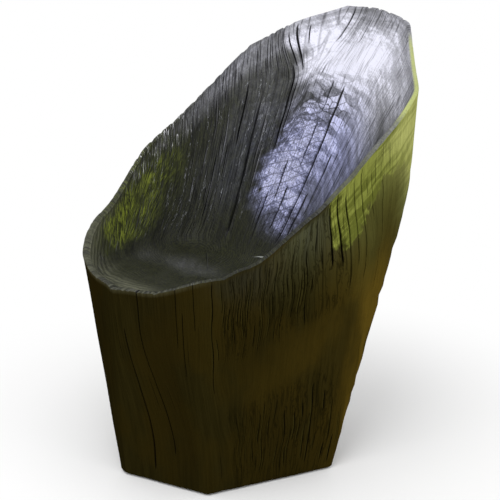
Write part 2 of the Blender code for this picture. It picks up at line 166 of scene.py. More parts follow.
# Checks in the hollow: column heading, the stages between which it runs, half its width and its depth.
HOLLOW_CHECKS = [
    (86.6, 1.34, 1.885, .0036, .009), (92.6, 1.69, 1.8, .0027, .007), (92.6, 1.835, 1.89, .0027, .006),
    (106.8, 1.74, 1.93, .0017, .007), (123.7, 1.79, 1.93, .0015, .006), (117.8, 1.3, 1.88, .0028, .008),
    (103.4, 1.3, 1.58, .0034, .007), (94.9, 1.41, 1.6, .0032, .007), (82.6, 1.41, 1.6, .0029, .007),
    (79.4, 1.53, 1.75, .0023, .006), (67, 1.8, 1.89, .0009, .003), (100.4, 1.952, 1.996, .0006, .005),
    (102.9, 1.962, 1.992, .0003, .004), (96, 1.955, 1.996, .001, .004),
    (104, 1.915, 1.996, .0003, .004), (108.8, 1.905, 1.996, .0005, .004),
    (110.8, 1.945, 1.994, .0006, .004), (116.3, 1.935, 1.994, .0008, .004),
    (120.4, 1.935, 1.99, .0007, .004), (81, 1.71, 1.84, .0007, .004), (98.4, 1.94, 1.99, .0007, .003),
    (76.4, 1.6, 1.76, .0018, .005), (73.4, 1.66, 1.83, .0012, .003), (112.6, 1.6, 1.76, .0008, .004),
    (70, 1.55, 1.85, .0012, .005), (132, 1.5, 1.8, .001, .005), (35, 1.45, 1.85, .0009, .005),
    (172.5, 1.5, 1.8, .0008, .004), (105.4, 1.925, 1.99, .0003, .003),
    (107.8, 1.94, 1.996, .0006, .003), (112.6, 1.93, 1.98, .0006, .003),
    (114.2, 1.95, 1.996, .0006, .003), (90.4, 1.955, 1.994, .0008, .003),
    (127.5, .36, .94, .0011, .003), (99.3, 1.56, 1.7, .002, .006), (90.4, 1.38, 1.5, .0013, .004),
    (105.4, 1.4, 1.55, .0013, .004),
]
# Checks on the sawn sides, with the shares of the side's height between which each runs.
SIDE_CHECKS = [
    (-81.5, .18, 1.02, .0017, .008), (-91.4, .07, .8, .0017, .008), (-57, .72, 1.02, .0013, .006),
    (-53.4, .58, .88, .0013, .006), (-46.5, .8, 1.02, .0011, .005), (-37.5, .5, .99, .0013, .006),
    (12.2, .77, .992, .0013, .006), (14.4, .76, .99, .0012, .006), (16.8, .66, .96, .0012, .006),
    (19.6, .7, .98, .0011, .005), (22.8, .64, .988, .0012, .006), (36.4, .16, .4, .0022, .009),
    (33.6, .2, .36, .001, .005), (-99.6, .72, .97, .0007, .003), (-107.4, .6, .99, .0007, .003),
    (-28, .66, .97, .0008, .005), (-22, .62, .95, .0008, .005), (-13.2, .66, .97, .0008, .005),
    (-3.8, .6, .92, .0008, .005), (5, .62, .9, .0008, .005), (-21.3, .04, .34, .0009, .005),
    (32, .71, .9, .001, .005), (27.2, .8, .95, .0008, .004), (-9.5, .06, .37, .0009, .005),
    (0.5, .04, .3, .0009, .005), (9.6, .05, .37, .0009, .005), (70, .3, .86, .0011, .006),
    (84, .05, .55, .0011, .006), (93, .44, .95, .001, .006), (104, .1, .6, .0011, .006),
    (117, .5, .98, .001, .006), (131, .05, .45, .0011, .006), (146, .35, .9, .0011, .006),
    (160, .1, .62, .001, .006), (173, .46, .98, .001, .006), (-172, .05, .5, .0011, .006),
    (-157, .4, .96, .001, .006), (-140, .1, .7, .001, .006),
]
# Stretches with many checks alike: surface, headings, how far apart, stages, lengths, half width, depth.
CHECK_BELTS = [
    ("side", -36, 10, 1.4, (.62, .99), (.08, .22), .001, .005),
    ("side", -30, 20, 1.4, (.03, .37), (.06, .18), .0008, .004),
    ("side", 22, 37, 2, (.89, .99), (.05, .09), .0008, .003),
    ("side", -98, -34, 5, (.02, 1), (.1, .3), .0005, .002),
    ("side", 24, 60, 5, (.3, .98), (.1, .25), .0006, .003),
    ("side", 62, 252, 6, (.02, 1), (.15, .6), .0009, .004),
    ("hollow", -116, -10, 4.2, (1.98, 2.9), (.5, .8), .0008, .003),
    ("hollow", 63, 98, 3.4, (1.3, 1.62), (.08, .22), .0006, .003),
    ("hollow", 104, 146, 2, (1.5, 1.97), (.08, .22), .0007, .003),
    ("hollow", 112, 150, 2.1, (1.93, 1.995), (.03, .06), .0006, .003),
    ("hollow", 60, 100, 4.4, (1.9, 1.99), (.02, .05), .0005, .002),
    ("hollow", 150, 196, 3.2, (1.95, 1.999), (.02, .045), .0006, .003),
    ("hollow", 150, 250, 6, (1.35, 1.9), (.1, .3), .0005, .002),
    ("hollow", -60, 56, 7.5, (1.3, 1.97), (.12, .45), .0006, .003),
]
CHECK_GAP = 0.25
CHECK_SPACE = 0.01
CHECK_WIDTH_AT = 0.25
random = np.random.default_rng(7)


def belt_checks(surface, start, end, apart, stages, lengths, half_width, depth):
    """Checks spread over a belt: one every few degrees, each moved, cut to length and shaped by chance."""
    count = int(round((end - start) / apart))
    heading = start + (np.arange(count) + random.uniform(.2, .8, count)) * apart
    length = random.uniform(*lengths, count) * random.uniform(.6, 1.0, count)
    low = stages[0] + random.uniform(0, 1, count) * (stages[1] - stages[0] - length)
    width = half_width * random.uniform(.7, 1.2, count)
    deep = depth * random.uniform(.6, 1.2, count)
    return np.stack([heading, low, low + length, width, deep, np.full(count, surface == "side")], axis=1)


def gather_checks():
    """All checks, with the listed ones first, on column headings from -180 to 180.

    A row holds a heading, start, end, half width and depth, and 1 on a side. A belt's check whose
    lips would come too close to an earlier one's moves to its heading, where they share a column,
    and is left out where the two would touch or that column is far wider.
    """
    placed = [(*row, 0.0) for row in HOLLOW_CHECKS] + [(*row, 1.0) for row in SIDE_CHECKS]
    rows = np.vstack([placed] + [belt_checks(*belt) for belt in CHECK_BELTS])
    rows[:, 0] = (rows[:, 0] + 180) % WHOLE_TURN - 180
    kept = rows[:len(placed)]
    for row in rows[len(placed):]:
        apart = np.abs((kept[:, 0] - row[0] + 180) % WHOLE_TURN - 180)
        nearest = apart.argmin()
        if apart[nearest] < CHECK_GAP + np.degrees((kept[nearest, 3] + row[3]) / CHECK_WIDTH_AT):
            row[0] = kept[nearest, 0]
        same = (kept[:, 0] == row[0]) & (kept[:, 5] == row[5])
        touch = (kept[:, 1] < row[2] + CHECK_SPACE) & (kept[:, 2] > row[1] - CHECK_SPACE)
        if not (same & (touch | (kept[:, 3] > 2 * row[3]))).any():
            kept = np.vstack([kept, row])
    return kept


def column_headings(checks, widest):
    """Column headings round the pith: three to each check, for its lips and bottom, and even fillers."""
    lines = np.unique(checks[:, 0])
    half = np.array([checks[checks[:, 0] == line, 3].max() for line in lines])
    half = np.degrees(half / CHECK_WIDTH_AT)
    left, right = lines - half, lines + half
    gaps = np.append(left[1:], left[0] + WHOLE_TURN) - right
    steps = np.ceil(gaps / widest).astype(int)
    fillers = [edge + gap * np.arange(1, n) / n for edge, gap, n in zip(right, gaps, steps)]
    return np.sort(np.concatenate([left, lines, right, *fillers]))


# The knot under the top of the back: its column, how far it turns the grain aside, and its reach.
KNOT_HEADING = 102.0
KNOT_PUSH = 4.6
KNOT_REACH = 3.5
# Down the back the columns close in on its middle: by how much, and down to how far below the rim.
BACK_MIDDLE = 98
CLOSING = 45.8
CLOSED_AT = 0.7
# The grain's wander: sines down the column, each with its waves, lean, start, and size in degrees.
GRAIN_WANDER = [(31, 1.0, 0.0, 0.16), (88, 1.7, 1.3, 0.07), (190, 2.9, 4.0, 0.04)]
GRAIN_LEAN = 0.30
# Where the grain leans over on the sides: column, how far round, degrees, the height it starts
# from and the fall over which it grows.
GRAIN_LEANS = [(-77, 22, 20, 0.33, 0.25), (-36, 11, 8, 0.26, 0.24), (6, 20, 6, 0.40, 0.40)]


def knot_parting(column):
    """How far the grain is turned aside by the knot under the top of the back: most just beside it."""
    beside = column - KNOT_HEADING
    return KNOT_PUSH * beside / (1 + (beside / KNOT_REACH) ** 2)


def wander(column, down):
    """The small sideways wander of the grain, in degrees, down a column: sines of unlike length."""
    aside = 0
    for waves, leans, start, size in GRAIN_WANDER:
        aside = aside + np.sin(down * waves + column * GRAIN_LEAN * leans + start) * size
    return aside


def hollow_heading(column, stage):
    """Where a column of grain runs in the hollow: the columns close in on the back's middle lower down."""
    down = 2 - np.minimum(stage, 2)
    aside = np.radians(column - BACK_MIDDLE)
    spread = CLOSING * np.minimum(down, CLOSED_AT) * np.sin(aside) * (1 + np.cos(aside)) / 2
    top = knot_parting(column) * ease((stage - 1.90) / 0.10)
    settled = ease((stage - 1.0) / 0.25)
    return column + spread + top + wander(column, down * 0.45) * settled


def side_heading(column, height, rim):
    """Where a column of grain runs on the sawn sides: it leans over at the front and on +X."""
    down = rim - height
    heading = column
    for middle, reach, lean, start, fall in GRAIN_LEANS:
        heading = heading + lean * np.exp(-((column - middle) / reach) ** 2) * ease((start - height) / fall)
    aside = 10 * np.exp(-((column - 22) / 16) ** 2) * ease(down / 0.22)
    swirl = 0.55 * within(-34, 4, 7, column) * np.sin(down * 62 + column * .05) * ease(down / 0.06)
    top = knot_parting(column) * (1 - ease(down / 0.10))
    return heading + aside + swirl + top + wander(column, -down) * 0.8


def even_stages(count):
    """Wall stages from the rim down to the seat, spaced evenly by length up the middle of the back."""
    fine = np.linspace(1, 2, 400)
    reach, height = hollow_profile(np.full(400, np.pi / 2), fine)
    length = np.append(0, np.cumsum(np.hypot(np.diff(reach), np.diff(height))))
    return np.interp(np.linspace(length[-1], 0, count), length, fine)


def ripple(heading, along, waves, seed):
    """A gentle uneven surface, 0 to 1: sines of a few lengths that close up round the block."""
    chance = np.random.default_rng(seed)
    total = 0
    for turns, per_metre in waves:
        total = total + np.sin(turns * heading + per_metre * along + chance.uniform(0, 2 * np.pi))
    return (total / len(waves) + 1) / 2


SIDE_ROWS = 43
LIP_ROWS = 6
WALL_ROWS = 46
SEAT_ROWS = 12
FILLER_WIDTH = 0.80

checks = gather_checks()
columns = column_headings(checks, FILLER_WIDTH)
side_shares = np.append([0, 0.006], np.linspace(0.02, 1, SIDE_ROWS)[:-1])
stages = np.concatenate([
    np.linspace(3, 2, LIP_ROWS)[:-1], even_stages(WALL_ROWS)[:-1], np.linspace(1, 0, SEAT_ROWS)[:-1],
])
column = columns[None, :] + 0 * np.append(side_shares, stages)[:, None]
stage = np.append(3 + 0 * side_shares, stages)[:, None] + 0 * column
share = np.append(side_shares, 1 + 0 * stages)[:, None] + 0 * column
on_side = share < 1

rim = rim_height(np.radians(side_heading(columns, BACK_RIM, BACK_RIM)))
side_height = UNDERSIDE + share * (rim - LIP_FALL - UNDERSIDE)
side_turn = np.radians(side_heading(column, side_height, rim))
hollow_turn = np.radians(hollow_heading(column, stage))
hollow_reach, hollow_height = hollow_profile(hollow_turn, stage)
turn = np.where(on_side, side_turn, hollow_turn)
reach = np.where(on_side, saw_cut_reach(side_turn, side_height), hollow_reach)
reach[0] -= ROUNDED_EDGE
height = np.where(on_side, side_height, hollow_height)
block_low, block_high = (np.array(corner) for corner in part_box("carved_block"))
plan = PITH + reach[..., None] * ray(turn)
# The shift that brings the middle of the block to the middle of its CAD box.
stand = ((block_low + block_high)[:2] - plan.min(axis=(0, 1)) - plan.max(axis=(0, 1))) / 2
points = np.concatenate([plan + stand, height[..., None]], axis=-1)


def outward(grid):
    """Unit normals of the grid: the step along a row crossed with the step along a column."""
    along_row = np.roll(grid, -1, axis=1) - np.roll(grid, 1, axis=1)
    along_column = np.gradient(grid, axis=0)
    normal = np.cross(along_row, along_column)
    return normal / np.maximum(np.linalg.norm(normal, axis=-1, keepdims=True), 1e-12)


# The share of a side check's run that its end over the lip takes, and a step that takes the side's
# rows out of reach of the hollow's checks.
LIP_RUN = 0.03
OUT_OF_REACH = 9


def check_depth():
    """Depth of the checks over the grid, deepest in the middle of each, and where a highlight is painted on
    one lip of each.
    """
    over_lip = 1 + (3 - stage[:, 0]) * LIP_RUN
    in_hollow = stage[:, 0] + OUT_OF_REACH * on_side[:, 0]
    runs = np.stack([in_hollow, np.where(on_side[:, 0], share[:, 0], over_lip)])
    start, end, deep, surface = checks[:, 1], checks[:, 2], checks[:, 4], checks[:, 5].astype(int)
    run = (runs[surface].T - start) / (end - start)
    taper = np.where((run > 0) & (run < 1), np.sin(np.pi * np.clip(run, 0, 1)) ** 0.5, 0)
    depth, edge = np.zeros(column.shape), np.zeros(column.shape)
    middle = np.searchsorted(columns, checks[:, 0])
    np.maximum.at(depth.T, middle, (taper * deep).T)
    np.maximum.at(edge.T, middle - 1, taper.T)
    return depth, edge


SIDE_WAVES = [(7, 9), (13, -22), (19, 31), (5, 47)]
HOLLOW_WAVES = [(23, 150), (37, -110), (11, 80), (53, 60)]
SEAT_WAVES = [(95, 40, 0), (-55, 70, 1)]
ARRIS_WAVES = [(2, 75), (3, 128), (1, 190)]
SIDE_UNEVEN = 0.0012
HOLLOW_UNEVEN = 0.0010
SEAT_UNEVEN = 0.0008
ARRIS_CHIPS = 0.0035
GOUGE_WAVES = [(9, 210), (-6, 265)]
GOUGE_RIPPLE = 0.0016
LIP_NICK_WAVES = [(37, 0), (61, 0), (89, 0), (131, 0)]
LIP_NICKS = 0.0026

below_rim = ease((rim - height) / 0.02)
uneven = np.where(
    on_side, SIDE_UNEVEN * ripple(turn, height, SIDE_WAVES, 3),
    HOLLOW_UNEVEN * ripple(turn, height, HOLLOW_WAVES, 4) * ease((stage - 0.6) / 0.8),
)
east, north = points[..., 0], points[..., 1]
scooped = 1.0 * (stage < 1.6)
for per_east, per_north, start in SEAT_WAVES:
    scooped *= np.sin(per_east * east + per_north * north + start)
uneven += SEAT_UNEVEN * (scooped * (1 - ease((stage - 0.9) / 0.6)) + 1) * ~on_side
chipped = within(26, 48, 8, column) * within(0.04, 0.56, 0.06, height) * on_side
uneven += ARRIS_CHIPS * chipped * ripple(turn, height, ARRIS_WAVES, 5) ** 2
gouged = within(80, 104, 6, column) * within(1.85, 1.955, 0.02, stage) * ~on_side
uneven += GOUGE_RIPPLE * gouged * ripple(turn, height, GOUGE_WAVES, 6)
lip_weight = within(2.2, 3.0, .2, stage) * ~on_side + ease((share - 0.985) / 0.01) * on_side
nicks = np.clip(ripple(np.radians(columns), 0, LIP_NICK_WAVES, 8) - 0.5, 0, 0.25) / 0.25
# The lip is nicked most along the top of the back, less at the front towards -X, and little at the sides.
calm = 1 - 0.75 * within(-62, 62, 8, column) - 0.35 * within(-150, -78, 8, column)
calm -= 0.7 * within(-182, -154, 4, column)
points[..., 2] -= LIP_NICKS * nicks * lip_weight * calm
depth, check_edge = check_depth()
points = points - outward(points) * (uneven * below_rim + depth)[..., None]
points = np.clip(points, block_low, block_high)

SPREAD_AT = 0.25
step = np.linalg.norm(np.diff(points, axis=0), axis=-1)
along = np.vstack([0 * columns, np.cumsum(step, axis=0)])
along = along - along[len(side_shares)]
grain = np.concatenate([SPREAD_AT * ray(np.radians(column)), along[..., None]], axis=-1)


def spots(rows):
    """A tone over the grid: the sum of soft spots, each a bell curve round the block and down it."""
    place = np.where(on_side, height, np.minimum(stage, 2))
    total = 0
    for heading, middle, wide, tall, strength in rows:
        aside = (column - heading + 180) % WHOLE_TURN - 180
        total = total + strength * np.exp(-(aside / wide) ** 2 - ((place - middle) / tall) ** 2)
    return total


# Spots of tone in the hollow: column, stage, reach round and down, and strength. The silver and
# the grey are a painted sheen; char and crazed mark charred and crazed wood; pale and green are painted
# light.
HOLLOW_SPOTS = {
    "silver": [
        (91, 1.928, 12, .042, 1.5), (78, 1.948, 10, .04, .76), (62, 1.965, 13, .045, .46),
        (103, 1.95, 4, .04, .75), (90, 1.902, 8, .009, -.3), (80, 1.918, 5, .01, -.25),
        (101, 1.886, 4, .012, -.22), (99, 1.853, 4, .01, -.22), (86, 1.85, 2.4, .01, .6),
        (80, 1.848, 4.5, .02, -.22), (96, 1.812, 8, .028, 1.15), (86, 1.86, 16, .05, .46),
        (93, 1.765, 11, .06, .7), (98, 1.69, 10, .065, 1.65), (103, 1.61, 9, .055, 1.1),
        (107.4, 1.595, 1.3, .022, -1.1), (93, 1.55, 11, .06, .92), (90, 1.44, 9, .06, .44),
        (80, 1.74, 10, .11, .4), (66, 1.86, 10, .06, .32), (68, 1.72, 9, .11, .2),
        (106, 1.995, 10, .02, .12), (85, 1.995, 20, .018, .12), (45, 1.975, 14, .05, .16),
        (30, 2, 22, .03, .06),
    ],
    "grey": [
        (124, 1.985, 22, .03, .25), (116, 1.86, 11, .12, .058), (130, 1.74, 14, .12, .01),
        (152, .6, 14, .2, .042), (137, .3, 40, .2, .036), (164, 1, 12, .22, .026), (122, 1.62, 7, .1, .022),
    ],
    "char": [(97, 1.83, 11, .06, 1.1), (93, 1.7, 10, .07, .7), (86, 1.84, 8, .05, .8)],
    "crazed": [(100, 1.62, 16, .17, 1), (96, 1.78, 12, .08, .8), (88, 1.42, 14, .1, .8)],
    # Pale painted light on the -X wall and its lip.
    "pale": [
        (-137, 1.74, 20, .34, .8), (-112, 1.25, 22, .25, .6), (-95, 1.2, 30, .25, .35),
        (-146, 1.94, 26, .11, .9), (-148, 1.3, 16, .22, .4),
    ],
    # Painted green light on the -X wall.
    "painted_green_light": [
        (174, 1.8, 15, .15, 1), (-166, 1.88, 15, .1, 1), (160, 1.86, 8, .06, .6),
        (-174, 1.64, 13, .13, .9), (168, 1.6, 9, .1, .5),
    ],
}
# The same on the sides, by height: painted amber and green light, grey patches, a pale strip of painted
# light and painted shade.
SIDE_SPOTS = {
    # Painted amber light.
    "amber": [
        (34, .14, 14, .25, .8), (40, .32, 9, .1, .9), (28, .36, 12, .14, .5), (31.5, .23, 1.6, .06, 1.6),
        (24, .07, 1.5, .06, 1), (7, .27, 13, .07, .16), (-12, .22, 12, .05, .1),
    ],
    # Painted green light.
    "green": [
        (38, .62, 18, .13, .3), (24, .5, 9, .1, .16), (56, .7, 14, .16, .5), (-6, .45, 24, .05, .05),
        (2, .54, 12, .06, .32), (31, .61, 7, .05, .42), (20, .51, 6, .04, .14),
    ],
    # A pale strip of painted green light along the +X edge and rim.
    "pale_strip": [
        (50, .72, 6, .17, .98), (47, .6, 5, .07, .4), (34, .73, 8, .07, 1.15), (41, .68, 7, .06, .75),
        (29, .73, 5, .03, .3),
    ],
    "grey_patch": [(3, .54, 13, .065, .38), (-20, .46, 16, .05, .15)],
    # Painted shade, low on the front and on the -X side.
    "shade": [
        (-70, .2, 24, .4, .46), (-118, .3, 20, .5, .5), (-150, .3, 25, .5, .2), (-12, .3, 20, .1, .22),
        (5, .1, 30, .12, .2),
    ],
}
# The painted sheen ends abruptly towards -X, on an edge that wanders down the back: stage and column
# heading.
SILVER_EDGE = np.array([
    (1.25, 98), (1.33, 105), (1.55, 111), (1.67, 109), (1.79, 106), (1.86, 105), (1.94, 105), (2, 108),
])
SILVER_EDGE_SOFTNESS = 7.0
# The painted pool of bright green light ends at a ragged edge: column heading, and the share of the height
# it comes down to.
LIT_EDGE = np.array([
    (-180, 1.2), (11.4, 1.2), (12.1, .85), (14, .815), (17.5, .785), (20.5, .808), (23.5, .832),
    (27.5, .852), (32.5, .885), (37, .872), (41, .86), (46, .8), (52, .76), (60, .8), (88, 1.2), (180, 1.2),
])
# Checks are painted dark as shade, fully from this depth.
CHECK_DARK_AT = 0.002

silver_edge = np.interp(stage, *SILVER_EDGE.T)
silver_edge += 1.4 * np.sin(stage * 95 + 2) + 1.2 * np.sin(stage * 38)
beside_sheen = ease((silver_edge - column) / SILVER_EDGE_SOFTNESS + 0.5)
# The lip beside the bright green takes the pale painted light too.
lit_lip_wedge = (within(42, 66, 6, column) + .08 * within(13, 42, 3, column)) * within(2.35, 3.0, .3, stage)
# The rubbed lip and top arris are wear with a painted highlight on them, strongest at the front on -X.
rubbed_lip = within(2.0 + .8 * within(-72, 14, 14, column), 3.0, .06, stage) * ~on_side
rubbed_arris = within(0, .002, .006, rim - height) * on_side
rubbed_and_lit_round = (0.20 + 0.75 * within(-128, -52, 22, column)) * (1 - .9 * within(14, 66, 6, column))
belt_share = within(.66, .97, .08, share) + within(.0, .36, .08, share)
tones = {name: spots(rows) * ~on_side for name, rows in HOLLOW_SPOTS.items()}
tones.update({name: spots(rows) * on_side for name, rows in SIDE_SPOTS.items()})
# The grey spots, more painted sheen on the seat and the back's -X side, join the silver.
tones["silver"] = tones["silver"] * beside_sheen + tones.pop("grey")
tones["pale"] *= 1 - .62 * ease((stage - 1.96) / .10)
tones["pale_strip"] += lit_lip_wedge * ~on_side
tones.update({
    "painted_green_fan": (within(-178, -140, 6, column) - .5) * ~on_side,
    "lit": share - np.interp(column, *LIT_EDGE.T),
    "drop": np.where(on_side, rim - height, 0),
    "worn": (rubbed_lip + rubbed_arris) * rubbed_and_lit_round,
    "slash": within(150, 190, 8, column) * within(1.950, 2.6, .03, stage) * ~on_side,
    "glint": within(112, 168, 8, column) * within(1.52, 1.94, .12, stage) * ~on_side,
    "seat": (1 - ease((stage - 1.08) / 0.24)) * ~on_side,
    "check": np.clip(depth / CHECK_DARK_AT, 0, 1),
    "check_edge": check_edge * np.where(on_side, within(-36, 60, 4, column), 1),
    "cool": (1 - ease((stage - 1.76) / 0.17)) * ease((stage - 1.2) / 0.2),
    "belt": on_side * within(-30, 14, 5, column) * belt_share,
})

GLIDES = ("front_left", "front_right", "right", "back_right", "back_left", "left")
GLIDE_POCKET = 0.0153
POCKET_TOP = 0.0086
PILOT_HOLE = 0.0023
PILOT_TOP = 0.0351
POCKET_SIDES = 48


def pocket_rings(name):
    """The four rings of a glide's pocket: its mouth, its top, and the pilot hole's mouth and end."""
    low, high = (np.array(corner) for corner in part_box("glide_cup_" + name))
    centre = (low + high)[:2] / 2
    round_it = np.linspace(0, 2 * np.pi, POCKET_SIDES, endpoint=False)
    radius = np.array([GLIDE_POCKET, GLIDE_POCKET, PILOT_HOLE, PILOT_HOLE])[:, None, None]
    level = np.array([UNDERSIDE, POCKET_TOP, POCKET_TOP, PILOT_TOP])[:, None, None]
    circles = centre + radius * ray(round_it)
    return np.concatenate([circles, level + 0 * circles[..., :1]], axis=-1)


def grid_faces(rows, around, first):
    """Quads of a grid that closes round. The step round crossed with the step up points outwards."""
    row, here = np.meshgrid(np.arange(rows - 1) * around, np.arange(around), indexing="ij")
    after = (here + 1) % around
    above = row + around
    return np.stack([row + here, row + after, above + after, above + here]).reshape(4, -1).T + first


rows, around = column.shape
pole = np.array([[*(PITH + stand), SEAT_HEIGHT - SEAT_DISH]])
pockets = [pocket_rings(name) for name in GLIDES]
vertices = np.vstack([points.reshape(-1, 3), pole] + [rings.reshape(-1, 3) for rings in pockets])
quads = [grid_faces(rows, around, 0)]
last = (rows - 1) * around + np.arange(around)
fan = np.stack([last, np.roll(last, -1), np.full(around, rows * around)], axis=1)
loops = [points[0]]
loop_index = [np.arange(around)]
triangles = [fan]
for number, rings in enumerate(pockets):
    first = rows * around + 1 + number * rings.shape[0] * POCKET_SIDES
    quads.append(grid_faces(rings.shape[0], POCKET_SIDES, first)[:, ::-1])
    end = first + (rings.shape[0] - 1) * POCKET_SIDES + np.arange(POCKET_SIDES)
    triangles.append(np.stack([end[0] + 0 * end[1:-1], end[2:], end[1:-1]], axis=1))
    loops.append(rings[0])
    loop_index.append(first + np.arange(POCKET_SIDES))
cap = tessellate_polygon([[Vector(corner) for corner in loop] for loop in loops])
cap = np.concatenate(loop_index)[np.array(cap)]
flat = vertices[cap]
turned = np.cross(flat[:, 1] - flat[:, 0], flat[:, 2] - flat[:, 0])[:, 2] > 0
cap[turned] = cap[turned][:, ::-1]
triangles.append(cap)
faces = [face for group in quads + triangles for face in group.tolist()]

block_mesh = bpy.data.meshes.new("carved_oak_block")
block_mesh.from_pydata(vertices.tolist(), [], faces)

# Past the grid only the pole has a tone, the seat's. The bright green starts at 0, so it is -1 there.
extra = vertices[rows * around:]
for name, values in tones.items():
    filled = np.append(values.ravel(), np.full(len(extra), -1.0 if name == "lit" else 0.0))
    block_mesh.attributes.new(name, "FLOAT", "POINT").data.foreach_set("value", filled.astype(np.float32))
block_mesh.attributes["seat"].data[rows * around].value = 1
grain = np.vstack([grain.reshape(-1, 3), extra * (1, 1, 0)]).astype(np.float32)
block_mesh.attributes.new("grain", "FLOAT_VECTOR", "POINT").data.foreach_set("vector", grain.ravel())


def feed_in(socket, feed):
    """Feeds a shader socket, with another node's socket or with a plain value."""
    if isinstance(feed, bpy.types.NodeSocket):
        socket.id_data.links.new(feed, socket)
    else:
        socket.default_value = feed


def add_node(tree, kind, settings=(), **feeds):
    """Adds a shader node, with a feed for each socket that is named."""
    made = tree.nodes.new("ShaderNode" + kind)
    for key, value in dict(settings).items():
        setattr(made, key, value)
    for key, feed in feeds.items():
        feed_in(made.inputs[key.replace("_", " ")], feed)
    return made


def tree_of(*feeds):
    """The node tree that the first socket among the feeds belongs to."""
    return next(feed.id_data for feed in feeds if isinstance(feed, bpy.types.NodeSocket))


def calc(operation, *terms, kind="Math"):
    """The result of a Math node, or of a Vector Math node."""
    made = add_node(tree_of(*terms), kind, {"operation": operation})
    for socket, term in zip(made.inputs, terms):
        feed_in(socket, term)
    return made.outputs[0]


def times(product, *terms):
    """The product of two or more values."""
    for term in terms:
        product = calc("MULTIPLY", product, term)
    return product


def most(greatest, *terms):
    """The greatest of two or more values."""
    for term in terms:
        greatest = calc("MAXIMUM", greatest, term)
    return greatest


def span(value, low, high, to_low=0.0, to_high=1.0):
    """The value carried smoothly from one span to another, and held at its ends."""
    return add_node(
        value.id_data, "MapRange", {"interpolation_type": "SMOOTHSTEP"}, Value=value,
        From_Min=low, From_Max=high, To_Min=to_low, To_Max=to_high,
    ).outputs["Result"]


def mix_colour(share, under, over, blend="MIX"):
    """Two colours mixed by a share. A colour is a socket, or its red, green and blue."""
    made = add_node(tree_of(share, under, over), "Mix", {"data_type": "RGBA", "blend_type": blend})
    sockets = {socket.identifier: socket for socket in made.inputs}
    for name, feed in (("Factor_Float", share), ("A_Color", under), ("B_Color", over)):
        feed_in(sockets[name], (*feed, 1) if isinstance(feed, tuple) else feed)
    return next(socket for socket in made.outputs if socket.identifier == "Result_Color")


def coats(colour, *layers):
    """A colour under further coats: each a share, a paint and, where it isn't plain, a blend."""
    for share, *paint in layers:
        colour = mix_colour(share, colour, *paint)
    return colour


def on_piece(tree):
    """Each point's place on its piece, in metres."""
    return add_node(tree, "TexCoord").outputs["Object"]


def tone(tree, name):
    """A tone that the mesh carries."""
    return add_node(tree, "Attribute", {"attribute_name": name}).outputs["Fac"]


def mapped(place, **how):
    """A place moved by a Location, turned by a Rotation or stretched by a Scale."""
    return add_node(place.id_data, "Mapping", Vector=place, **how).outputs["Vector"]


def speckle(place, scale, detail=2.0, roughness=0.5):
    """Noise, 0 to 1, over a place stretched by a scale for each axis."""
    return add_node(
        place.id_data, "TexNoise", Vector=mapped(place, Scale=scale), Scale=1.0, Detail=detail,
        Roughness=roughness,
    ).outputs["Fac"]


def thin_lines(noise, width):
    """Hairlines where a noise passes through its middle: 1 on the line, 0 away from it."""
    return span(calc("ABSOLUTE", calc("SUBTRACT", noise, 0.5)), 0.0, width, 1.0, 0.0)


def unsettled(place, scale, amount):
    """A place moved about a little by noise, so that a pattern on it isn't regular."""
    noise = add_node(place.id_data, "TexNoise", Vector=place, Scale=scale, Detail=2.0).outputs["Color"]
    return calc("MULTIPLY_ADD", noise, (amount, amount, amount), place, kind="VectorMath")


def new_material(name, **fixed):
    """A material with one Principled shader, whose fixed sockets are set here."""
    material = bpy.data.materials.new(name)
    material.use_nodes = True
    shader = material.node_tree.nodes["Principled BSDF"]
    for key, value in fixed.items():
        feed_in(shader.inputs[key.replace("_", " ")], value)
    return material, material.node_tree, shader


def dress(shader, colour, height, strength, distance, roughness=None):
    """Joins a colour, a raised height and, where it isn't fixed, a roughness to the shader."""
    bump = add_node(shader.id_data, "Bump", Strength=strength, Distance=distance, Height=height)
    feed_in(shader.inputs["Base Color"], colour)
    feed_in(shader.inputs["Normal"], bump.outputs["Normal"])
    if roughness:
        feed_in(shader.inputs["Roughness"], roughness)


RING_HEART = (-0.157, -0.045, 0.0)
SIDE_HEART = (0.12, -0.06, 0.0)
RING_WIDTH = 0.0052
BOWL_RING_WIDTH = 0.0115
ARC_WIDTH = 0.0280


def growth_rings(here, climb, heart=RING_HEART, width=RING_WIDTH):
    """Growth rings: the distance from the trunk's heart, a little uneven and climbing, and waves of it."""
    tree = here.id_data
    aside = mapped(here, Location=tuple(-x for x in heart), Scale=(1, 1, 0))
    distance = add_node(tree, "VectorMath", {"operation": "LENGTH"}, Vector=aside)
    height = add_node(tree, "SeparateXYZ", Vector=here).outputs["Z"]
    uneven = calc("MULTIPLY_ADD", speckle(here, (9, 9, 3), 3.0), 0.05, times(height, climb))
    ring = calc("ADD", distance.outputs["Value"], uneven)
    return ring, calc("MULTIPLY_ADD", calc("SINE", times(ring, 2 * np.pi / width)), 0.5, 0.5)


def craquelure(place, scale, gap):
    """Cells parted by fine cracks: 1 on a crack, and each cell's own chance value."""
    tree = place.id_data
    cells = mapped(place, Scale=scale)
    edge = add_node(tree, "TexVoronoi", {"feature": "DISTANCE_TO_EDGE"}, Vector=cells, Scale=1.0)
    chance = add_node(tree, "TexVoronoi", Vector=cells, Scale=1.0).outputs["Color"]
    crack = span(edge.outputs["Distance"], 0.0, gap, 1.0, 0.0)
    return crack, add_node(tree, "SeparateColor", Color=chance).outputs["Red"]


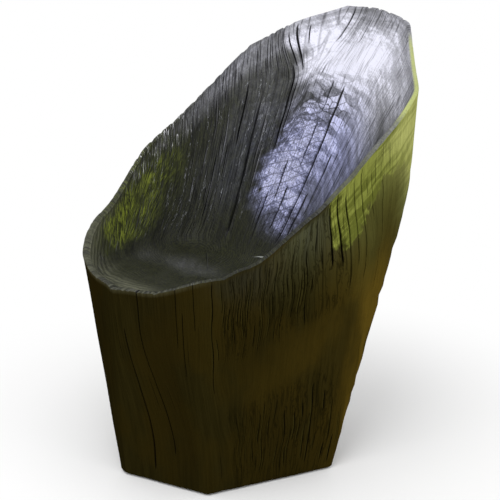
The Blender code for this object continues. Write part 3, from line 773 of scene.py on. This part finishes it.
# The outside is the saw's flat work, scorched black-brown, with green and amber light painted on +X.
# Hairlines run between its checks.
SCORCHED_DARK = (0.0130, 0.0102, 0.0022)
SCORCHED_LIGHT = (0.0215, 0.0168, 0.0038)
SCORCHED_WARM = (0.0245, 0.0168, 0.0026)
PAINTED_SHADE_DEEP = (0.0050, 0.0034, 0.0009)
RUBBED_EDGE_HIGHLIGHT = (0.056, 0.052, 0.026)
SIDE_AMBER_LIGHT = (0.085, 0.055, 0.007)
SIDE_GREEN_LIGHT = (0.170, 0.180, 0.046)
GREY_PATCH = (0.052, 0.056, 0.058)
BRIGHT_GREEN_DARK = (0.082, 0.092, 0.014)
BRIGHT_GREEN_LIGHT = (0.225, 0.250, 0.050)
SIDE_LIT_STRIP = (0.395, 0.410, 0.130)
SIDE_CHECK_HIGHLIGHT = (0.036, 0.031, 0.007)
SIDE_HAIRLINE = (0.005, 0.004, 0.001)
SIDE_CHECK = (0.0022, 0.0018, 0.0010)


def side_oak():
    """The dark stained oak of the sawn sides, with painted coloured light, highlights and shade."""
    material, tree, shader = new_material(
        "blackened_oak_side", Roughness=0.75, Specular_IOR_Level=0.0, Specular_Tint=(1.0, 0.7, 0.25, 1.0),
    )
    place = add_node(tree, "Attribute", {"attribute_name": "grain"}).outputs["Vector"]
    here = on_piece(tree)
    fibre = speckle(place, (620, 620, 16), 3.0, 0.6)
    streak = speckle(place, (120, 120, 4), 2.0)
    cloud = speckle(here, (9, 9, 6), 3.0)
    _, rings = growth_rings(here, -0.08)
    hair = thin_lines(speckle(place, (170, 170, 7), 1.0), 0.05)
    short = thin_lines(speckle(unsettled(place, 60.0, 0.008), (170, 170, 9), 1.0), 0.045)
    grain_light = calc("MULTIPLY_ADD", fibre, 0.55, times(streak, 0.45))

    drop = add_node(tree, "CombineXYZ", Z=tone(tree, "drop")).outputs["Vector"]
    beside = calc("MULTIPLY_ADD", place, (1, 1, 0), drop, kind="VectorMath")
    flow = speckle(unsettled(beside, 24.0, 0.030), (22, 22, 95), 2.0)
    chatter = times(span(flow, 0.40, 0.60, 0.25, 1.0), span(fibre, 0.30, 0.60, 0.55, 1.0))
    ragged = calc("MULTIPLY_ADD", speckle(place, (170, 170, 60), 3.0), 0.11, -0.055)
    lit = span(calc("ADD", tone(tree, "lit"), ragged), -0.012, 0.018)
    strip = times(tone(tree, "pale_strip"), span(fibre, 0.3, 0.6, 0.7, 1.0))
    strip = times(strip, span(chatter, 0.15, 0.75, 0.62, 1.0))

    colour = coats(
        mix_colour(span(grain_light, 0.35, 0.65), SCORCHED_DARK, SCORCHED_LIGHT),
        (span(cloud, 0.42, 0.62, 0.0, 0.7), SCORCHED_WARM),
        (calc("MINIMUM", tone(tree, "shade"), 0.9), PAINTED_SHADE_DEEP),
        # Wear on the top arris, lightened as a painted highlight.
        (times(tone(tree, "worn"), span(grain_light, 0.3, 0.7, 0.25, 0.9)), RUBBED_EDGE_HIGHLIGHT),
        (times(tone(tree, "amber"), span(cloud, 0.38, 0.62, 0.4, 1.0)), SIDE_AMBER_LIGHT),
        (times(tone(tree, "green"), span(grain_light, 0.32, 0.62, 0.65, 1.0)), SIDE_GREEN_LIGHT),
        (times(tone(tree, "grey_patch"), span(fibre, 0.3, 0.62, 0.5, 1.15)), GREY_PATCH),
        # The painted pool of green light, dim and bright along the saw's chatter.
        (lit, mix_colour(chatter, BRIGHT_GREEN_DARK, BRIGHT_GREEN_LIGHT)),
        (strip, SIDE_LIT_STRIP),
        # A painted highlight on one lip of the checks on the front and +X.
        (times(tone(tree, "check_edge"), 0.5), SIDE_CHECK_HIGHLIGHT, "LIGHTEN"),
        (times(most(hair, short), span(tone(tree, "belt"), 0.0, 1.0, 0.15, 0.62)), SIDE_HAIRLINE),
        # Painted shade in the checks.
        (span(tone(tree, "check"), 0.1, 0.6), SIDE_CHECK),
    )
    height = calc("SUBTRACT", calc("MULTIPLY_ADD", rings, 0.12, grain_light), times(hair, 0.4))
    dress(shader, colour, height, strength=0.7, distance=0.0007)
    return material


# The hollow is carved and scraped smooth and blackened, with a sheen painted on the back: silver at
# the top, violet lower down. Pale and green painted light show on its -X wall, and growth rings on the
# seat.
HOLLOW_DARK = (0.0040, 0.0046, 0.0014)
HOLLOW_LIGHT = (0.0250, 0.0272, 0.0080)
RING_GREY = (0.060, 0.062, 0.045)
PAINTED_LIGHT_PALE = (0.175, 0.178, 0.118)
PAINTED_GREEN_GROUND = (0.042, 0.050, 0.008)
PAINTED_GREEN_STROKE = (0.225, 0.270, 0.030)
PAINTED_SHEEN_VIOLET = (0.56, 0.59, 1.0)
PAINTED_SHEEN_SILVER = (0.86, 0.86, 1.0)
PAINTED_SHEEN_LIMIT = 0.86
WORN_LIP_HIGHLIGHT = (0.088, 0.090, 0.060)
SLASH_HIGHLIGHT = (0.75, 0.75, 0.78)
GLINT = (0.30, 0.31, 0.34)
HOLLOW_CHECK_HIGHLIGHT = (0.150, 0.150, 0.165)
LIP_LIT_STRIP = (0.42, 0.46, 0.16)
HOLLOW_HAIRLINE = (0.010, 0.010, 0.009)
HOLLOW_CRACK = (0.016, 0.016, 0.018)
HOLLOW_CHECK = (0.0035, 0.0035, 0.0035)
KERF_HIGHLIGHT = (0.42, 0.44, 0.42)
PAINTED_GREEN_LEANS = (-0.62, 0.28)
# A short saw kerf crosses the foot of the back, painted pale as a highlight: column heading and stage of
# its two ends.
KERF_ENDS = np.array([(96.5, 1.151), (85.5, 1.207)])
KERF_HALF_WIDTH = 0.0010


def kerf_share(here):
    """1 on the kerf, seen from above: near the line between its two ends, and fainter at its start."""
    turned = np.radians(hollow_heading(KERF_ENDS[:, 0], KERF_ENDS[:, 1]))
    reach, _ = hollow_profile(turned, KERF_ENDS[:, 1])
    start, end = PITH + stand + reach[:, None] * ray(turned)
    run = end - start
    beside_line = add_node(
        here.id_data, "Mapping", {"vector_type": "TEXTURE"}, Vector=here, Location=(*start, 0.0),
        Rotation=(0.0, 0.0, np.arctan2(run[1], run[0])), Scale=(np.hypot(*run), KERF_HALF_WIDTH, 1.0),
    )
    at = add_node(here.id_data, "SeparateXYZ", Vector=beside_line.outputs["Vector"]).outputs
    across = span(calc("ABSOLUTE", at["Y"]), 0.6, 1.3, 1.0, 0.0)
    return times(across, span(at["X"], 0.0, 0.9), span(at["X"], 0.98, 1.02, 1.0, 0.0))


def hollow_oak():
    """The blackened oak of the hollow and the lip, with a painted sheen and painted light."""
    material, tree, shader = new_material(
        "blackened_oak_hollow", Specular_IOR_Level=0.24, Specular_Tint=(0.90, 0.90, 1.0, 1.0),
    )
    place = add_node(tree, "Attribute", {"attribute_name": "grain"}).outputs["Vector"]
    here = on_piece(tree)
    seat, sheen, crazed, char = (tone(tree, name) for name in ("seat", "silver", "crazed", "char"))
    strip, worn, painted_light_share, green_light_share = (tone(tree, name) for name in ("pale_strip", "worn", "pale", "painted_green_light"))
    wall = calc("SUBTRACT", 1.0, seat)
    ring, rings = growth_rings(here, 0.30)
    _, bowl_rings = growth_rings(here, 0.50, RING_HEART, BOWL_RING_WIDTH)
    _, arcs = growth_rings(here, 0.85, SIDE_HEART, ARC_WIDTH)
    across = add_node(tree, "SeparateXYZ", Vector=here).outputs
    over_rings = add_node(tree, "CombineXYZ", X=ring, Y=across["X"], Z=across["Y"]).outputs["Vector"]

    fibre = speckle(place, (330, 330, 42), 4.0, 0.65)
    grit = speckle(here, (260, 260, 260), 4.0, 0.7)
    streak = speckle(place, (130, 130, 7), 2.0)
    smudge = speckle(over_rings, (105, 15, 15), 3.0, 0.6)
    cloud = speckle(here, (30, 30, 30), 3.0)
    waves = speckle(unsettled(place, 20.0, 0.025), (15, 15, 75), 2.0)
    gritty = most(span(seat, 0.0, 1.0, 0.45, 1.0), span(sheen, 0.1, 0.6, 0.45, 0.8), span(strip, 0.0, 0.06))
    along_wood = mix_colour(gritty, fibre, grit)
    light = span(along_wood, 0.38, 0.64)

    ring_share = calc("MULTIPLY_ADD", seat, 0.26, calc("MULTIPLY_ADD", painted_light_share, 0.30, 0.06))
    ring_light = times(span(rings, 0.40, 0.9), ring_share, span(cloud, 0.38, 0.62, 0.3, 1.2))
    ringed = most(span(bowl_rings, 0.15, 0.75, 0.42, 1.05), span(worn, 0.0, 0.12, 0.0, 0.9))
    # Pale painted light on the -X wall, with the bowl's rings in it.
    pale = times(painted_light_share, span(along_wood, 0.3, 0.65, 0.55, 1.0), ringed)

    # Painted green light on the -X wall, in strokes along the tool marks.
    hatch = [speckle(mapped(place, Rotation=(lean, 0, 0)), (240, 240, 40), 3.0, 0.6) for lean in PAINTED_GREEN_LEANS]
    stroke = mix_colour(span(calc("ADD", cloud, tone(tree, "painted_green_fan")), 0.40, 0.60), *hatch)
    painted_green_light = times(green_light_share, span(stroke, 0.42, 0.58), span(cloud, 0.36, 0.56, 0.15, 1.0))

    charred, block_chance = craquelure(unsettled(place, 50.0, 0.018), (44, 44, 66), 0.09)
    patchy = times(span(smudge, 0.38, 0.58, 0.60, 1.18), span(along_wood, 0.38, 0.60, 0.58, 1.32))
    patchy = times(patchy, span(waves, 0.40, 0.60, 0.56, 1.27))
    patchy = mix_colour(span(crazed, 0.0, 0.5, 0.55, 1.0), (0.95, 0.95, 0.95), patchy)
    blocks = mix_colour(char, (1, 1, 1), span(block_chance, 0.1, 0.9, 0.30, 1.45))
    # The painted sheen: a highlight painted into the colour, violet lower down where the cool tone is,
    # silver higher up.
    silver = calc("MINIMUM", times(sheen, patchy, blocks), PAINTED_SHEEN_LIMIT)
    neutral = most(calc("SUBTRACT", 1.0, tone(tree, "cool")), span(silver, 0.55, 0.95, 0.0, 0.35))
    violet = mix_colour(neutral, PAINTED_SHEEN_VIOLET, PAINTED_SHEEN_SILVER)
    lift = add_node(tree, "VectorMath", {"operation": "SCALE"}, Vector=violet, Scale=silver)

    hair = thin_lines(speckle(place, (230, 230, 7), 1.0), 0.05)
    hair = times(hair, wall, span(strip, 0.0, 0.06, 1.0, 0.1), span(sheen, 0.25, 0.8, 1.0, 0.5))
    # Thin painted highlights slashed across the lip at -X.
    slash_lines = thin_lines(speckle(place, (210, 210, 14), 1.0), 0.020)
    slash = times(tone(tree, "slash"), slash_lines, span(cloud, 0.36, 0.52))
    short = thin_lines(speckle(place, (190, 190, 42), 2.0), 0.022)
    short = times(tone(tree, "glint"), short, span(streak, 0.50, 0.60, 0.0, 0.70))
    # A painted highlight on one lip of each check.
    check_edge = times(tone(tree, "check_edge"), span(streak, 0.40, 0.60, 0.2, 0.9))
    fine_crack, _ = craquelure(unsettled(place, 120.0, 0.005), (210, 210, 120), 0.12)
    fine_crack = times(fine_crack, span(crazed, 0.1, 1.0, 0.0, 0.7))
    arc = times(span(arcs, 0.93, 0.99), span(crazed, 0.2, 0.7, 0.0, 0.62))
    crack = most(times(charred, char, 0.7), fine_crack, arc)

    colour = coats(
        mix_colour(light, HOLLOW_DARK, HOLLOW_LIGHT),
        (ring_light, RING_GREY),
        (pale, PAINTED_LIGHT_PALE),
        (times(green_light_share, 0.75), PAINTED_GREEN_GROUND),
        (painted_green_light, PAINTED_GREEN_STROKE),
        (1.0, lift.outputs["Vector"], "ADD"),
        # Wear on the lip, lightened as a painted highlight.
        (times(worn, span(streak, 0.40, 0.62, 0.10, 0.9)), WORN_LIP_HIGHLIGHT, "LIGHTEN"),
        (slash, SLASH_HIGHLIGHT, "LIGHTEN"),
        (short, GLINT, "LIGHTEN"),
        (check_edge, HOLLOW_CHECK_HIGHLIGHT, "LIGHTEN"),
        (times(strip, span(along_wood, 0.3, 0.6, 0.7, 1.0)), LIP_LIT_STRIP),
        (times(hair, 0.75), HOLLOW_HAIRLINE),
        (crack, HOLLOW_CRACK),
        # Painted shade in the checks.
        (span(tone(tree, "check"), 0.1, 0.6), HOLLOW_CHECK),
        (kerf_share(here), KERF_HIGHLIGHT),
    )
    rough = calc("MULTIPLY_ADD", seat, 0.14, span(silver, 0.0, 0.6, 0.52, 0.36))
    rough = calc("MULTIPLY_ADD", light, 0.10, rough)
    cuts = calc("ADD", times(hair, 0.9), times(crack, 0.9))
    relief = calc("MULTIPLY_ADD", rings, calc("MULTIPLY_ADD", seat, 0.15, 0.1), along_wood)
    raised = calc("MULTIPLY_ADD", painted_green_light, 1.2, times(smudge, wall, 0.8))
    height = calc("SUBTRACT", calc("ADD", raised, relief), cuts)
    dress(shader, colour, height, strength=0.9, distance=0.0013, roughness=rough)
    return material


SHARP_FROM = np.radians(38)


def put_up(name, data):
    """An object for a mesh, a lamp or a camera, linked to the scene."""
    made = bpy.data.objects.new(name, data)
    bpy.context.scene.collection.objects.link(made)
    return made


for material in (side_oak(), hollow_oak()):
    block_mesh.materials.append(material)
slots = np.zeros(len(faces), np.int32)
slots[len(side_shares) * around:(rows - 1) * around] = 1
fan_start = sum(len(group) for group in quads)
slots[fan_start:fan_start + len(fan)] = 1
block_mesh.polygons.foreach_set("material_index", slots)
block_mesh.shade_smooth()
block_mesh.set_sharp_from_angle(angle=SHARP_FROM)
oak_block = put_up("oak_block", block_mesh)
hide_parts("carved_block")
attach(oak_block, "root")


# Six glides keep the block off the floor. Each has a moulded cup let into its pocket, a ring of
# pressed wool felt glued in the cup, and one zinc-plated screw that holds the cup to the block.
CUP_DARK = (0.020, 0.020, 0.022)
CUP_LIGHT = (0.036, 0.036, 0.038)
FELT_DARK = (0.070, 0.064, 0.056)
FELT_LIGHT = (0.150, 0.138, 0.122)
FELT_HAIR = (0.26, 0.24, 0.21)
ZINC_DARK = (0.50, 0.50, 0.51)
ZINC_LIGHT = (0.62, 0.62, 0.64)


def cup_plastic():
    """Black moulded plastic with the faint grain of a spark-eroded mould."""
    material, tree, shader = new_material("moulded_cup_black", Specular_IOR_Level=0.4)
    grit = speckle(on_piece(tree), (2600, 2600, 2600), 2.0)
    colour = mix_colour(grit, CUP_DARK, CUP_LIGHT)
    rough = span(grit, 0.3, 0.7, 0.42, 0.56)
    dress(shader, colour, grit, strength=0.4, distance=0.0001, roughness=rough)
    return material


def felt_wool():
    """Grey-brown pressed felt: matted fibres that lie every way."""
    material, tree, shader = new_material(
        "pressed_felt_grey", Roughness=0.95, Specular_IOR_Level=0.1, Sheen_Weight=0.3,
    )
    here = on_piece(tree)
    hairs = thin_lines(speckle(here, (900, 1300, 700), 3.0, 0.7), 0.06)
    tufts = speckle(here, (500, 500, 500), 3.0, 0.7)
    colour = coats(mix_colour(tufts, FELT_DARK, FELT_LIGHT), (times(hairs, 0.4), FELT_HAIR))
    dress(shader, colour, calc("ADD", tufts, hairs), strength=0.8, distance=0.0003)
    return material


def screw_zinc():
    """Zinc-plated steel, with fine turning marks."""
    material, tree, shader = new_material("zinc_plated_steel", Metallic=1.0)
    here = on_piece(tree)
    turned = speckle(here, (300, 300, 4000), 2.0)
    colour = mix_colour(speckle(here, (700, 700, 700), 1.0), ZINC_DARK, ZINC_LIGHT)
    rough = span(turned, 0.3, 0.7, 0.26, 0.42)
    dress(shader, colour, turned, strength=0.3, distance=0.00005, roughness=rough)
    return material


for part, material in (("cup", cup_plastic()), ("felt", felt_wool()), ("screw", screw_zinc())):
    for name in GLIDES:
        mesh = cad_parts[f"glide_{part}_{name}"].data
        mesh.materials.clear()
        mesh.materials.append(material)


# The studio: a pale floor that turns white away from the chair, a white world, one wide soft
# lamp high on the camera's left and a weaker one on its right.
FLOOR_SIZE = 30.0
FLOOR_PALE = (0.92, 0.92, 0.92, 1)
SHADOW_FROM = 0.30
SHADOW_REACH = 0.85
WHITE = (1.0, 1.0, 1.0, 1.0)
WORLD_LIGHT = 0.84
AROUND_CHAIR = (0.0, 0.0, 0.4)
# Each lamp: azimuth, elevation, distance, size and power. Azimuth 0 is at -Y, and grows towards +X.
LAMPS = {"key_lamp": (22, 50, 2.6, 1.8, 30), "fill_lamp": (95, 35, 3.0, 2.2, 12)}


def seen(tree):
    """1 for what the camera sees, straight or in a reflection, and 0 for light that falls on the chair."""
    path = add_node(tree, "LightPath").outputs
    return most(path["Is Camera Ray"], path["Is Glossy Ray"], path["Is Transmission Ray"])


def floor_surface():
    """Pale matt paint near the chair, which keeps its shadow, and to the camera plain white further off."""
    material, tree, shader = new_material(
        "pale_floor", Roughness=0.9, Specular_IOR_Level=0.1, Base_Color=FLOOR_PALE,
    )
    distance = add_node(tree, "VectorMath", {"operation": "LENGTH"}, Vector=on_piece(tree)).outputs["Value"]
    away = span(distance, SHADOW_FROM, SHADOW_REACH)
    mixed = add_node(tree, "MixShader", Fac=times(away, seen(tree)))
    feed_in(mixed.inputs[1], shader.outputs["BSDF"])
    feed_in(mixed.inputs[2], add_node(tree, "Emission", Color=WHITE, Strength=1.0).outputs["Emission"])
    feed_in(tree.nodes["Material Output"].inputs["Surface"], mixed.outputs["Shader"])
    return material


def studio_world():
    """Soft light from all round at a plain level, seen as white by the camera and in reflections."""
    world = bpy.data.worlds.new("studio")
    world.use_nodes = True
    background = world.node_tree.nodes["Background"]
    feed_in(background.inputs["Color"], WHITE)
    feed_in(background.inputs["Strength"], span(seen(world.node_tree), 0.0, 1.0, WORLD_LIGHT, 1.0))
    return world


def aim_from(thing, azimuth, elevation, distance, target):
    """Stands a lamp or a camera at an angle and a distance from its target, looking at it."""
    turn, rise = np.radians(azimuth), np.radians(elevation)
    way = Vector((np.sin(turn) * np.cos(rise), -np.cos(turn) * np.cos(rise), np.sin(rise)))
    thing.location = Vector(target) + distance * way
    thing.rotation_euler = way.to_track_quat("Z", "Y").to_euler()


floor_mesh = bpy.data.meshes.new("studio_floor")
half = FLOOR_SIZE / 2
corners = [(-half, -half, 0), (half, -half, 0), (half, half, 0), (-half, half, 0)]
floor_mesh.from_pydata(corners, [], [(0, 1, 2, 3)])
floor_mesh.materials.append(floor_surface())
studio_floor = put_up("studio_floor", floor_mesh)
bpy.context.scene.world = studio_world()
for name, (azimuth, elevation, distance, size, power) in LAMPS.items():
    lamp = bpy.data.lights.new(name, "AREA")
    lamp.size = size
    lamp.energy = power
    aim_from(put_up(name, lamp), azimuth, elevation, distance, AROUND_CHAIR)

# The camera stands to the chair's left, a little above its back.
CAMERA_AZIMUTH = 49.0
CAMERA_ELEVATION = 19.3
CAMERA_DISTANCE = 2.6
CAMERA_TARGET = (0.0105, -0.0266, 0.42)
FOCAL_PIXELS = 1344
IMAGE_PIXELS = 500

camera = bpy.data.cameras.new("camera")
camera.lens = camera.sensor_width * FOCAL_PIXELS / IMAGE_PIXELS
camera_stand = put_up("camera", camera)
aim_from(camera_stand, CAMERA_AZIMUTH, CAMERA_ELEVATION, CAMERA_DISTANCE, CAMERA_TARGET)
bpy.context.scene.camera = camera_stand
bpy.context.scene.view_settings.view_transform = "Standard"
